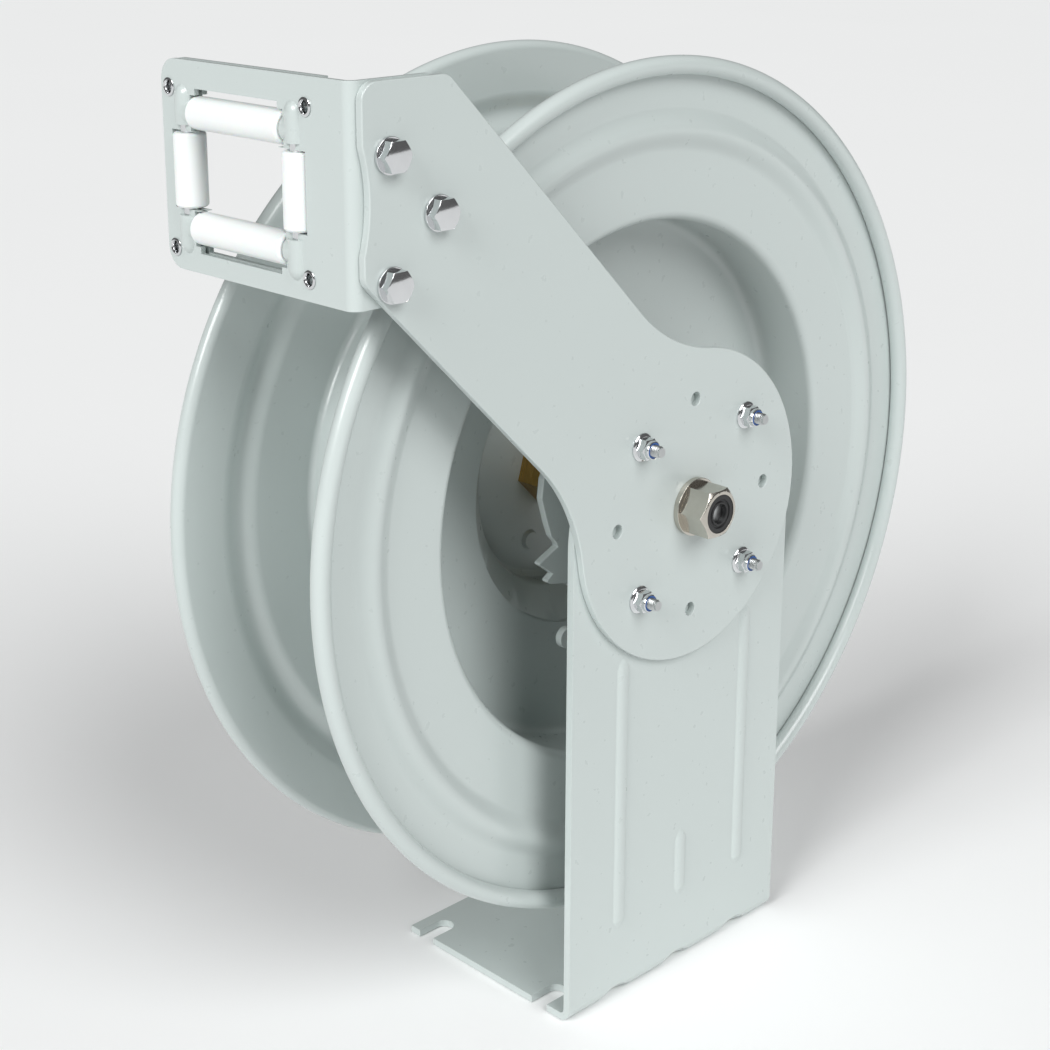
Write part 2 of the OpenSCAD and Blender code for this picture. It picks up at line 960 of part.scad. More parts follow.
module swivel_seals() {
    color(rubber)
        for (x = [well_x + 3.8, well_x + 15.3])
            on_axle(x)
                rotate_extrude()
                    translate([axle_d/2 + fit + 1.15, 0])
                        circle(r = 1.12, $fn = 24);
}

// One pair of teeth, as steps of angle and of depth below the teeth's tips: a tall
// tooth, a short one behind it, and a smooth rise that sinks to the next tall one.
function tooth_pair(foot) = [
    [0, 0], [9.5, 6], [9.8, 0.5], [12.5, 2], [18.5, 8], [22, 10], [36, 9.5], [46, 7],
    [53, 5.7], [62, 6.5], [74, 10.8], [82, foot - 2.5], [87, foot], [89.5, foot]
];

module ratchet_outline() {
    pitch = 360/teeth;
    stretch = pitch/90;
    offset(r = 1, $fn = 24)
        offset(delta = -2)
            offset(delta = 1)
                polygon([
                    for (k = [0:teeth - 1], p = tooth_pair(ratchet_r - ratchet_foot))
                        let (a = tooth_face + k*pitch + p[0]*stretch)
                            (ratchet_r - p[1])*[cos(a), sin(a)]
                ]);
}

module at_ratchet_screws() {
    for (a = [30:120:270])
        rotate(a)
            translate([13.6, 0])
                children();
}

module ratchet_wheel() {
    color(paint)
        difference() {
            on_axle(ratchet_x)
                linear_extrude(ratchet_t)
                    ratchet_outline();
            on_axle(ratchet_x - 1)
                cylinder(r = 17.02, h = ratchet_t + 2);
        }
}

// a clamping ring that holds the ratchet on the swivel's nose, and its three screws
module ratchet_screws() {
    color(zinc)
        difference() {
            union() {
                on_axle(nose_x + 0.02)
                    ring(22, axle_d/2 + 1, 2);
                on_axle(nose_x - 9)
                    at_ratchet_screws()
                        cylinder(r = 1.98, h = 11);
                on_axle(nose_x + 2)
                    at_ratchet_screws()
                        cylinder(r = 3.2, h = 2.4);
            }
            on_axle(nose_x + 3.2)
                at_ratchet_screws()
                    hexagon(3, 4);
        }
}

// the tube from the swivel to the barrel's wall
module riser_tube() {
    color(brass)
        at_outlet()
            translate([0, 0, swivel_af/2 - 7.9])
                ring(6, 4, barrel_r - 8 - swivel_af/2 + 7.9);
}

// the elbow in the barrel's wall that the hose's inner end screws onto
module outlet_elbow() {
    length = 30;
    color(brass)
        difference() {
            union() {
                at_outlet()
                    translate([0, 0, barrel_r - 14])
                        cylinder(r = outlet_r, h = 14 + outlet_r + 1);
                at_outlet()
                    translate([0, 0, barrel_r + outlet_r + 1])
                        sphere(r = outlet_r);
                at_outlet()
                    translate([0, 0, barrel_r + outlet_r + 1])
                        rotate([90, 0, 0])
                            cylinder(r = outlet_r, h = length - 10);
                at_outlet()
                    translate([0, -12, barrel_r + outlet_r + 1])
                        rotate([90, 0, 0])
                            cylinder(r = outlet_r + 1.5, h = 8, $fn = 6);
            }
            at_outlet()
                translate([0, 0, barrel_r - 15])
                    cylinder(r = 6.02, h = 7.2);
            at_outlet()
                translate([0, 0, barrel_r - 15])
                    cylinder(r = 4, h = 15 + outlet_r + 1);
            at_outlet()
                translate([0, 0, barrel_r + outlet_r + 1])
                    rotate([90, 0, 0])
                        cylinder(r = 4, h = length);
        }
}

// ---------------------------------------------------------------- spring motor

module at_case_bolts() {
    for (a = [10:120:250])
        rotate(a)
            translate([44, 0])
                children();
}

// a cup with its floor against the well and its mouth towards the far side
module spring_case() {
    t = sheet_t;
    color(paint)
        difference() {
            on_axle(case_back)
                mirror([0, 0, 1])
                    difference() {
                        cylinder(r = case_r, h = case_depth);
                        translate([0, 0, t])
                            cylinder(r = case_r - t, h = case_depth);
                        translate([0, 0, -1])
                            cylinder(r = 17.02, h = t + 2);
                    }
            on_axle(case_back - 5)
                at_case_bolts()
                    cylinder(r = 3.3, h = 10);
        }
}

module at_cover_screws() {
    for (a = [0:60:300])
        rotate(a)
            translate([case_r + 5.5, 0])
                children();
}

module case_cover() {
    color(paint)
        difference() {
            union() {
                on_axle(cover_x - 2)
                    cylinder(r = case_r + 10, h = 2 - 0.02);
                on_axle(cover_x - 0.02)
                    at_cover_screws()
                        cylinder(r = 4.3, h = 8);
                on_axle(cover_x - 2 - 1.5)
                    cylinder(r = 24, h = 2);
            }
            on_axle(cover_x - 10)
                cylinder(r = axle_d/2 + 4, h = 30);
            on_axle(cover_x - 10)
                at_cover_screws()
                    cylinder(r = 2.02, h = 30);
        }
}

module cover_screws() {
    color(zinc)
        on_axle(0)
            at_cover_screws() {
                translate([0, 0, cover_x - 2.5])
                    cylinder(r = 2, h = 9);
                translate([0, 0, cover_x - 2 - 2.6])
                    cylinder(r = 3.8, h = 2.6);
            }
}

// the bolts that hold the spring case on the hub dish
module case_bolts() {
    color(zinc)
        on_axle(0)
            at_case_bolts() {
                translate([0, 0, case_back - sheet_t - 0.6])
                    cylinder(r = 3, h = well_x - case_back + sheet_t + 1);
                translate([0, 0, well_x + 0.02])
                    cylinder(r1 = 5.6, r2 = 4.4, h = 1.8);
            }
}

// thin nuts pressed into the spring case, clear of the spring
module case_nuts() {
    color(zinc)
        on_axle(case_back + 0.02)
            at_case_bolts()
                ring(5.5, 3.02, well_x - case_back - sheet_t - 0.04);
}

module rear_bush() {
    color(brass)
        difference() {
            union() {
                on_axle(bush_x)
                    cylinder(r = axle_d/2 + 3.9, h = bush_l - 4);
                on_axle(bush_x - 2)
                    cylinder(r = axle_d/2 + 7, h = 2);
            }
            on_axle(bush_x - 5)
                cylinder(r = axle_d/2 + fit, h = bush_l + 10);
        }
}

module spring_arbor() {
    l = strip_w - 4;
    color(spring_steel)
        on_axle(cover_x + case_gap + 2)
            difference() {
                cylinder(r = 20, h = l);
                translate([0, 0, -1])
                    cylinder(r = axle_d/2 + 0.02, h = l + 2);
                translate([0, -3.02, -1])
                    cube([axle_d/2 + 3, 6.04, l + 2]);
            }
}

module arbor_key() {
    color(zinc)
        on_axle(cover_x + case_gap + 2.05)
            translate([axle_d/2 - 2.45, -2.98, 0])
                cube([5.3, 5.96, strip_w - 4.1]);
}

function coil_radius(a) = 20.6 + (case_r - 31)*a/(360*strip_turns);

module power_spring() {
    strip_t = 1.2;
    step = 15;
    last = 360*strip_turns;
    inside = [for (a = [0:step:last]) coil_radius(a)*[cos(a), sin(a)]];
    outside = [for (a = [last:-step:0]) (coil_radius(a) + strip_t)*[cos(a), sin(a)]];
    color(spring_steel)
        on_axle(cover_x + case_gap)
            linear_extrude(strip_w)
                polygon(concat(inside, outside));
}

// ---------------------------------------------------------------- pawl

// the nose's corners in a tooth: the inner one and the outer one
function nose(r, lag) = let (a = tooth_face + 90 - lag) r*[cos(a), sin(a)];
nose_in = nose(ratchet_foot + 4, 4.5);
nose_out = nose(ratchet_r - 4, 1.6);

// the pawl's nose arm, in its place in a tooth
module nose_arm() {
    side = (pawl_eye - 0.5)*left_of(pawl_at, nose_in);
    polygon([pawl_at - side, nose_out, nose_in, pawl_at + side]);
}

module pawl_outline() {
    side = (tail_eye - 0.5)*left_of(pawl_at, tail_at);
    translate(pawl_at)
        circle(r = pawl_eye);
    translate(pawl_at)
        rotate(-pawl_swing)
            translate(-pawl_at)
                nose_arm();
    translate(tail_at)
        circle(r = tail_eye);
    polygon([pawl_at - side, tail_at - side, tail_at + side, pawl_at + side]);
}

module pawl() {
    color(paint)
        on_axle(ratchet_x)
            difference() {
                linear_extrude(ratchet_t)
                    pawl_outline();
                translate([pawl_at[0], pawl_at[1], -1])
                    cylinder(r = pivot_r + fit, h = ratchet_t + 2);
                translate([tail_at[0], tail_at[1], -1])
                    cylinder(r = 1.52, h = ratchet_t + 2);
            }
}

// the pin that the pawl's spring hooks on
module pawl_pin() {
    color(zinc)
        on_axle(ratchet_x)
            translate(tail_at) {
                cylinder(r = 1.5, h = ratchet_t + 8);
                translate([0, 0, ratchet_t + 7])
                    cylinder(r = 2.6, h = 1.5);
            }
}

// the shoulder stud that the pawl swings on
module pawl_pivot() {
    color(zinc)
        on_axle(0)
            translate(pawl_at) {
                translate([0, 0, ratchet_x - 3])
                    cylinder(r = pivot_r, h = ratchet_t + 6);
                translate([0, 0, ratchet_x + ratchet_t + 0.5])
                    cylinder(r = 6.5, h = post_in - ratchet_x - ratchet_t - 0.5);
            }
}

module pawl_clip() {
    color(spring_steel)
        on_axle(ratchet_x - 2)
            translate(pawl_at)
                ring(7, pivot_r + 0.02, 1.2);
}

// the stud that the pawl's nose arm rests on
module pawl_stop() {
    stop_r = 3;
    gap = 0.1;
    side = -left_of(pawl_at - (pawl_eye - 0.5)*left_of(pawl_at, nose_in), nose_out);
    base = pawl_at - (pawl_eye - 0.5)*left_of(pawl_at, nose_in);
    at = base + 0.6*(nose_out - base) + (stop_r + gap)*side;
    color(zinc)
        on_axle(ratchet_x)
            translate(pawl_at)
                rotate(-pawl_swing)
                    translate(at - pawl_at)
                        cylinder(r = stop_r, h = post_in - ratchet_x);
}

// the stud on the post that the other end of the spring hooks on
module spring_anchor() {
    tip = spring_x - 2.2;
    color(zinc)
        on_axle(tip)
            translate(anchor_at) {
                cylinder(r = 2.6, h = 1);
                cylinder(r = 1.5, h = 8);
                translate([0, 0, 6])
                    cylinder(r = 3.5, h = post_in - tip - 6);
            }
}

// an extension spring: a stack of coils between two end loops
module pawl_spring() {
    wire = 0.7;
    coil_r = 2.7;
    loop_r = 2.3;
    gap = anchor_at[1] - tail_at[1];
    count = floor((gap - 4*(loop_r + wire))/(2*wire));
    middle = axle_z + tail_at[1] + gap/2;
    color(spring_steel) {
        on_axle(spring_x)
            for (p = [tail_at, anchor_at])
                translate(p)
                    rotate_extrude($fn = 24)
                        translate([loop_r, 0])
                            circle(r = wire, $fn = 16);
        translate([spring_x, tail_at[0], middle - count*wire])
            rotate_extrude($fn = 32) {
                square([coil_r, 2*wire*count]);
                for (k = [0:count - 1])
                    translate([coil_r, (2*k + 1)*wire])
                        circle(r = wire - 0.05, $fn = 16);
            }
        for (s = [-1, 1])
            translate([spring_x, tail_at[0], middle + s*(gap/2 + count*wire - loop_r)/2])
                cylinder(r = wire + 0.1, h = gap/2 - loop_r - count*wire + 1, center = true);
    }
}

// ---------------------------------------------------------------- nodes

pedestal();
guide_arm();
clamp_studs();
clamp_nuts();
clamp_nut_inserts();
main_shaft();
shaft_washer();
shaft_nut();
shaft_nut_insert();
guide_bracket();
guide_back_plate();
guide_rivets();
upright_pins();
level_pins();
top_roller();
bottom_roller();
near_roller();
far_roller();
bracket_bolts();
bracket_washers();
bracket_nuts();
post_side_disc();
far_side_disc();
hub_dish();
swivel_body();
swivel_seals();
ratchet_wheel();
ratchet_screws();
riser_tube();
outlet_elbow();
spring_case();
case_cover();
cover_screws();
case_bolts();
case_nuts();
rear_bush();
spring_arbor();
arbor_key();
power_spring();
thrust_washer();
shaft_clip();
inlet_fitting();
pawl();
pawl_pin();
pawl_pivot();
pawl_clip();
pawl_stop();
spring_anchor();
pawl_spring();
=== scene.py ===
"""Finishes and fine detail for a spring-rewind hose reel on a pedestal.

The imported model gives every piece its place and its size. This file welds,
rounds and finishes those pieces, makes the two drum discs, the rivets and the
arm's screws, nuts and studs afresh, and sets a plain studio round them.
"""

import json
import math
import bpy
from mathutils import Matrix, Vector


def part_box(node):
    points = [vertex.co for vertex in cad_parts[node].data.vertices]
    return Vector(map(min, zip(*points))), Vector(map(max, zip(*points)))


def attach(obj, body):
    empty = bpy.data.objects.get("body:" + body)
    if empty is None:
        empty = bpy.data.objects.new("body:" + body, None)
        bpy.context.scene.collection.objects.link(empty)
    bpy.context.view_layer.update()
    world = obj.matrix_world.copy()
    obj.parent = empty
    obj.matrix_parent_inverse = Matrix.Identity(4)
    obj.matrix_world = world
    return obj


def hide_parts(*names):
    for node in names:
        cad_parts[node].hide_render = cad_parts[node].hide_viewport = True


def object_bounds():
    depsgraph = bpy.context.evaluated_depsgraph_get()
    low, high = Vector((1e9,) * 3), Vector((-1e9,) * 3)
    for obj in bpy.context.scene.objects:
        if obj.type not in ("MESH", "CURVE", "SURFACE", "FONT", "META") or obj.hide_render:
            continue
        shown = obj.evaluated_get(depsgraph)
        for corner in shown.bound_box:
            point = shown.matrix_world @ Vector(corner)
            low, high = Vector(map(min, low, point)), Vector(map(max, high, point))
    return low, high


bl_info = {
    "name": "Hose reel finishes",
    "version": (1, 0, 0),
    "blender": (4, 5, 0),
    "location": "3D View > Sidebar > Hose reel",
    "description": "Builds the visible pieces of a spring-rewind hose reel round its packed model",
    "category": "Object",
}

import bmesh
import bpy
from mathutils import Matrix, Vector

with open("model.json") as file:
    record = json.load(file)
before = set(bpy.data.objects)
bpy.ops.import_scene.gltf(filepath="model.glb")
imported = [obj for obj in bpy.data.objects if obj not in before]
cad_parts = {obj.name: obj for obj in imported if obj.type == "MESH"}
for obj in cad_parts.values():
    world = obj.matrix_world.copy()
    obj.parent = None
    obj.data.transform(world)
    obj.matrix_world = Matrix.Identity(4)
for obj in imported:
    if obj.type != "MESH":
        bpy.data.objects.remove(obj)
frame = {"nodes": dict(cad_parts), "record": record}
CAD_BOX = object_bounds()
MM = 0.001
WELD = 0.002 * MM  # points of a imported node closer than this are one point
MERGE = 0.001 * MM  # the same for points made here
SHARP_ANGLE = math.radians(35)  # faces that meet at more than this keep a sharp edge
FLAT_ANGLE = math.radians(0.4)  # triangles that meet at less than this are one flat
BEVEL_ANGLE = math.radians(38)  # edges sharper than this are rounded
TO_AXLE = (0.0, math.pi / 2, 0.0)  # turns a piece made along Z to lie along the axle
TO_FRONT = (math.pi / 2, 0.0, 0.0)  # turns a piece made along Z to face the guide's front


# ---------------------------------------------------------------- colours and shader nodes


def linear(code):
    """An sRGB hex colour as a linear RGBA tuple."""
    parts = [int(code[i : i + 2], 16) / 255 for i in (1, 3, 5)]
    return tuple(c / 12.92 if c <= 0.04045 else ((c + 0.055) / 1.055) ** 2.4 for c in parts) + (1.0,)


def dark(colour, share):
    """A linear colour at a share of its brightness."""
    return tuple(c * share for c in colour[:3]) + (1.0,)


def put(tree, kind, sockets=None, **settings):
    """Adds a node with its settings, and fills or links the sockets that are named."""
    node = tree.nodes.new(kind)
    for key, value in settings.items():
        setattr(node, key, value)
    for key, value in (sockets or {}).items():
        if isinstance(value, bpy.types.NodeSocket):
            tree.links.new(value, node.inputs[key])
        else:
            node.inputs[key].default_value = value
    return node


def surface(name, colour, shade, cloud_mm, grain_mm, height_mm, rough, shader, stretch=(1, 1, 1)):
    """A finish whose colour drifts over cloud_mm and whose roughness and relief follow a grain.

    shade is the darker colour that the clouds reach, height_mm the depth of the
    grain, rough the roughness at the noise's two ends, shader the fixed values of
    the shader, and stretch how much finer the grain is along each axis.
    """
    made = bpy.data.materials.new(name)
    made.use_nodes = True
    made.diffuse_color = colour
    tree = made.node_tree
    tree.nodes.clear()
    place = put(tree, "ShaderNodeTexCoord").outputs["Object"]
    cloud = put(
        tree,
        "ShaderNodeTexNoise",
        {"Vector": place, "Scale": 1 / (cloud_mm * MM), "Detail": 3.0},
    )
    tint = put(tree, "ShaderNodeMix", {"Factor": cloud.outputs["Fac"]}, data_type="RGBA")
    tint.inputs["A"].default_value = shade
    tint.inputs["B"].default_value = colour
    along = put(tree, "ShaderNodeMapping", {"Vector": place, "Scale": stretch})
    grain = put(
        tree,
        "ShaderNodeTexNoise",
        {"Vector": along.outputs["Vector"], "Scale": 1 / (grain_mm * MM), "Detail": 2.0},
    )
    sheen = put(
        tree,
        "ShaderNodeMapRange",
        {"Value": grain.outputs["Fac"], "To Min": rough[0], "To Max": rough[1]},
    )
    relief = put(
        tree,
        "ShaderNodeBump",
        {"Height": grain.outputs["Fac"], "Distance": height_mm * MM, "Strength": 1.0},
    )
    skin = put(
        tree,
        "ShaderNodeBsdfPrincipled",
        {
            "Base Color": tint.outputs["Result"],
            "Roughness": sheen.outputs["Result"],
            "Normal": relief.outputs["Normal"],
            **shader,
        },
    )
    put(tree, "ShaderNodeOutputMaterial", {"Surface": skin.outputs["BSDF"]})
    return made


# ---------------------------------------------------------------- sizes and colours a user would change


class HOSEREEL_PG_sizes(bpy.types.PropertyGroup):
    rim_r: bpy.props.FloatProperty(
        name="Rim radius", description="Radius of the rolled rim, in mm", default=4.7
    )
    sheet_t: bpy.props.FloatProperty(
        name="Sheet", description="Thickness of the drum's sheet, in mm", default=1.5
    )
    bead_c: bpy.props.FloatProperty(
        name="Bead circle", description="Radius of the bead's centre, in mm", default=186
    )
    bead_w: bpy.props.FloatProperty(
        name="Bead width", description="Width of the stiffening bead, in mm", default=22
    )
    bead_h: bpy.props.FloatProperty(
        name="Bead height", description="Height of the stiffening bead, in mm", default=4
    )
    barrel_r: bpy.props.FloatProperty(
        name="Barrel", description="Outside radius of the barrel, in mm", default=142
    )
    lip_r: bpy.props.FloatProperty(
        name="Lip radius", description="Radius from disc into barrel, in mm", default=5
    )
    corner_r: bpy.props.FloatProperty(
        name="Corner", description="Radius from barrel into floor, in mm", default=6
    )
    recess_d: bpy.props.FloatProperty(
        name="Recess", description="Depth of the near recess, in mm", default=38
    )
    floor_drop: bpy.props.FloatProperty(
        name="Floor drop", description="Dish of the recess floor, in mm", default=7
    )
    floor_r: bpy.props.FloatProperty(
        name="Floor opening", description="Radius of the floor's opening, in mm", default=82
    )
    spin_steps: bpy.props.IntProperty(
        name="Steps", description="Steps round a spun disc", default=288, min=32
    )
    edge_mm: bpy.props.FloatProperty(
        name="Edge", description="Rounding of cut plate edges, in mm", default=0.45
    )


class HOSEREEL_PG_colours(bpy.types.PropertyGroup):
    paint: bpy.props.FloatVectorProperty(
        name="Paint", description="Powder coat", subtype="COLOR", size=4, default=linear("#C3CCCA")
    )
    nylon: bpy.props.FloatVectorProperty(
        name="Rollers", description="Natural nylon", subtype="COLOR", size=4, default=linear("#F1F5F4")
    )
    blue: bpy.props.FloatVectorProperty(
        name="Lock rings", description="Blue nylon", subtype="COLOR", size=4, default=linear("#2B5FA8")
    )
    brass: bpy.props.FloatVectorProperty(
        name="Brass", description="Machined brass", subtype="COLOR", size=4, default=linear("#C9A25C")
    )


_made = {}


def finishes(colours):
    """The finishes by slot name, made once."""
    if _made:
        return _made
    paint, nylon, blue, brass = map(
        tuple, (colours.paint, colours.nylon, colours.blue, colours.brass)
    )
    # Polyester powder coat on steel: glossy, with the shallow orange peel that baked powder
    # leaves every few millimetres, and a faint drift in shade over a hand's width.
    _made["paint"] = surface(
        "powder_coat_light_grey", paint, dark(paint, 0.97), 140, 5.0, 0.001, (0.25, 0.33),
        {"IOR": 1.5, "Coat Weight": 0.3, "Coat Roughness": 0.1},
    )
    # Bright zinc on steel: a bluish white metal whose crystals break the gloss
    # every half millimetre.
    _made["zinc"] = surface(
        "bright_zinc_plate", linear("#CDCFCE"), linear("#B3B6B8"), 12, 0.6, 0.004, (0.24, 0.4),
        {"Metallic": 1.0},
    )
    # Polished and plated screw heads: almost a mirror, with faint tool marks.
    _made["chrome"] = surface(
        "bright_chrome_plate", linear("#E4E5E6"), linear("#D2D4D6"), 8, 0.8, 0.002, (0.08, 0.18),
        {"Metallic": 1.0},
    )
    # Nickel on a turned steel nut: warmer than chrome, a little softer.
    _made["nickel"] = surface(
        "bright_nickel_plate", linear("#D0CCC4"), linear("#BDB8AE"), 8, 0.8, 0.002, (0.14, 0.24),
        {"Metallic": 1.0},
    )
    # Natural nylon tube: milky, with a soft extruded gloss along the roller.
    _made["white_nylon"] = surface(
        "natural_nylon", nylon, dark(nylon, 0.95), 20, 1.5, 0.006, (0.3, 0.42),
        {"IOR": 1.53, "Subsurface Weight": 0.15, "Subsurface Scale": 0.002},
    )
    # Black nylon, moulded: satin.
    _made["black_nylon"] = surface(
        "moulded_black_nylon", linear("#1B1C1E"), linear("#141516"), 10, 1.0, 0.01, (0.38, 0.52),
        {"IOR": 1.53},
    )
    # Blue nylon locking rings: satin.
    _made["blue_nylon"] = surface(
        "moulded_blue_nylon", blue, dark(blue, 0.8), 6, 0.8, 0.01, (0.35, 0.5), {"IOR": 1.53}
    )
    # Free-cutting brass, turned: the tool leaves rings about half a millimetre apart
    # round the axle, which is the grain's size along X after the stretch.
    _made["brass"] = surface(
        "turned_brass", brass, dark(brass, 0.8), 15, 14.0, 0.01, (0.22, 0.36),
        {"Metallic": 1.0}, (28, 1, 1),
    )
    # Blued spring strip: dark, with rolling marks along its length.
    _made["spring_steel"] = surface(
        "blued_spring_steel", linear("#565D66"), linear("#3E444C"), 14, 6.0, 0.004, (0.28, 0.42),
        {"Metallic": 1.0}, (12, 1, 1),
    )
    # Nitrile rubber: matt and slightly bloomed.
    _made["seal_rubber"] = surface(
        "nitrile_rubber", linear("#1F1F1F"), linear("#161616"), 8, 0.8, 0.02, (0.6, 0.75), {"IOR": 1.52}
    )
    return _made


# ---------------------------------------------------------------- making pieces


def body_named(node):
    """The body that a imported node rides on."""
    for body, members in frame["record"]["behaviour"]["bodies"].items():
        if node in members:
            return body
    raise ValueError("no body holds " + node)


def slot_named(node):
    """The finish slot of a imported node."""
    for part in frame["record"]["subparts"]:
        if part["node"] == node:
            return part["material_slot"]
    raise ValueError("no slot for " + node)


def settle(piece, node, colours, *more):
    """Gives a finished piece its finish and its body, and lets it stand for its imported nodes."""
    slot = slot_named(node)
    piece.data.materials.clear()
    piece.data.materials.append(finishes(colours)[slot])
    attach(piece, body_named(node))
    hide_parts(node, *more)


def new_piece(name, bm):
    """A smooth-shaded object at the origin from bmesh data, with its sharp edges marked."""
    mesh = bpy.data.meshes.new(name)
    bm.to_mesh(mesh)
    bm.free()
    mesh.shade_smooth()
    mesh.set_sharp_from_angle(angle=SHARP_ANGLE)
    piece = bpy.data.objects.new(name, mesh)
    bpy.context.scene.collection.objects.link(piece)
    return piece


def welded(node, name, edge_mm):
    """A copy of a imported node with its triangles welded, its flats made whole and its edges rounded."""
    bm = bmesh.new()
    bm.from_mesh(frame["nodes"][node].data)
    bmesh.ops.remove_doubles(bm, verts=bm.verts, dist=WELD)
    bmesh.ops.dissolve_limit(bm, angle_limit=FLAT_ANGLE, verts=bm.verts, edges=bm.edges)
    piece = new_piece(name, bm)
    if edge_mm > 0:
        rounding = piece.modifiers.new("rounded_edges", "BEVEL")
        rounding.width = edge_mm * MM
        rounding.segments = 2
        rounding.limit_method = "ANGLE"
        rounding.angle_limit = BEVEL_ANGLE
        rounding.harden_normals = True
        rounding.use_clamp_overlap = True
    flats = piece.modifiers.new("flat_faces_stay_flat", "WEIGHTED_NORMAL")
    flats.weight = 100
    flats.keep_sharp = True
    return piece


def dress(names, colours, edge_mm):
    """Welds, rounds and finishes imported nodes, one piece for each."""
    for node in names:
        settle(welded(node, node + "_piece", edge_mm), node, colours)


def arc(centre, radius, start, end, steps):
    """Points on an arc, with its angles in degrees."""
    turns = [math.radians(start + (end - start) * i / steps) for i in range(steps + 1)]
    return [(centre[0] + radius * math.cos(a), centre[1] + radius * math.sin(a)) for a in turns]


def sheet_loop(path, thickness):
    """The closed outline of a sheet whose middle follows a path."""
    left, right = [], []
    last = len(path) - 1
    for i, here in enumerate(path):
        before, after = path[max(i - 1, 0)], path[min(i + 1, last)]
        run = Vector((after[0] - before[0], after[1] - before[1])).normalized()
        off = Vector((-run.y, run.x)) * thickness / 2
        left.append((here[0] + off.x, here[1] + off.y))
        right.append((here[0] - off.x, here[1] - off.y))
    return left + right[::-1]


def spin(bm, outline, steps, closed=True):
    """Turns an outline of radius and height, in metres, about the local Z axis."""
    rings = []
    for i in range(steps):
        turn = 2 * math.pi * i / steps
        rings.append([bm.verts.new((r * math.cos(turn), r * math.sin(turn), z)) for r, z in outline])
    count = len(outline)
    for i in range(steps):
        a, b = rings[i], rings[(i + 1) % steps]
        for j in range(count if closed else count - 1):
            k = (j + 1) % count
            bm.faces.new((a[j], a[k], b[k], b[j]))
    bmesh.ops.remove_doubles(bm, verts=bm.verts, dist=MERGE)
    bmesh.ops.recalc_face_normals(bm, faces=bm.faces)


def hexagon_shell(bm, across, low, high, bore):
    """A hexagon of a nut or a screw head, its top corners cut by the usual 30 degree cone."""
    steps = 72
    flat = across / 2
    soft = 0.94 * flat  # radius of the flat circle that the cone leaves
    rings = []
    for i in range(steps):
        turn = 2 * math.pi * i / steps
        off = (turn + math.pi / 6) % (math.pi / 3) - math.pi / 6
        r = flat / math.cos(off)
        fall = (r - soft) * math.tan(math.radians(30))
        outline = ((bore, low), (r, low), (r, high - fall), (soft, high), (bore, high))
        rings.append([bm.verts.new((q * math.cos(turn), q * math.sin(turn), z)) for q, z in outline])
    count = len(rings[0])
    for i in range(steps):
        a, b = rings[i], rings[(i + 1) % steps]
        for j in range(count):
            k = (j + 1) % count
            bm.faces.new((a[j], a[k], b[k], b[j]))
    bmesh.ops.remove_doubles(bm, verts=bm.verts, dist=MERGE)
    bmesh.ops.recalc_face_normals(bm, faces=bm.faces)


def thread_outline(radius, start, end, pitch):
    """A rod's outline with a thread's crests and roots, drawn as rings, ending in a plain length at the
    root's radius.
    """
    depth = 0.6 * pitch
    outline = [(0.0, start)]
    count = int((end - start - pitch) / pitch)
    for i in range(count):
        z = start + i * pitch
        outline += [(radius - depth, z + 0.1 * pitch)]
        outline += [(radius, z + 0.45 * pitch), (radius, z + 0.65 * pitch)]
    outline += [(radius - depth, start + count * pitch), (radius - depth, end), (0.0, end)]
    return outline


# ---------------------------------------------------------------- copies of one piece at many places


def copies_tree():
    """A tree that puts a turned copy of one piece at each vertex of its host, with one finish."""
    if "copies_at_places" in bpy.data.node_groups:
        return bpy.data.node_groups["copies_at_places"]
    tree = bpy.data.node_groups.new("copies_at_places", "GeometryNodeTree")
    face = tree.interface
    face.new_socket("Places", in_out="INPUT", socket_type="NodeSocketGeometry")
    face.new_socket("Piece", in_out="INPUT", socket_type="NodeSocketObject")
    turn = face.new_socket("Turn", in_out="INPUT", socket_type="NodeSocketRotation")
    face.new_socket("Finish", in_out="INPUT", socket_type="NodeSocketMaterial")
    face.new_socket("Copies", in_out="OUTPUT", socket_type="NodeSocketGeometry")
    given = put(tree, "NodeGroupInput").outputs
    piece = put(tree, "GeometryNodeObjectInfo", {"Object": given["Piece"]})
    copies = put(
        tree,
        "GeometryNodeInstanceOnPoints",
        {"Points": given["Places"], "Instance": piece.outputs["Geometry"], "Rotation": given["Turn"]},
    )
    real = put(tree, "GeometryNodeRealizeInstances", {"Geometry": copies.outputs["Instances"]})
    coated = put(
        tree,
        "GeometryNodeSetMaterial",
        {"Geometry": real.outputs["Geometry"], "Material": given["Finish"]},
    )
    put(tree, "NodeGroupOutput", {"Copies": coated.outputs["Geometry"]})
    return tree


def copies(name, model, places, turn, node, colours):
    """Copies a small model to each place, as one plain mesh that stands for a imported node."""
    mesh = bpy.data.meshes.new(name + "_places")
    mesh.from_pydata([tuple(p) for p in places], [], [])
    host = bpy.data.objects.new(name + "_places", mesh)
    bpy.context.scene.collection.objects.link(host)
    pattern = host.modifiers.new("copies", "NODES")
    pattern.node_group = copies_tree()
    ids = {s.name: s.identifier for s in pattern.node_group.interface.items_tree if s.in_out == "INPUT"}
    pattern[ids["Piece"]] = model
    pattern[ids["Turn"]] = turn
    pattern[ids["Finish"]] = finishes(colours)[slot_named(node)]
    bpy.context.view_layer.update()
    shown = host.evaluated_get(bpy.context.evaluated_depsgraph_get())
    made = bpy.data.meshes.new_from_object(shown)
    made.name = name
    bpy.data.objects.remove(host)
    bpy.data.objects.remove(model)
    piece = bpy.data.objects.new(name, made)
    bpy.context.scene.collection.objects.link(piece)
    settle(piece, node, colours)
    return piece


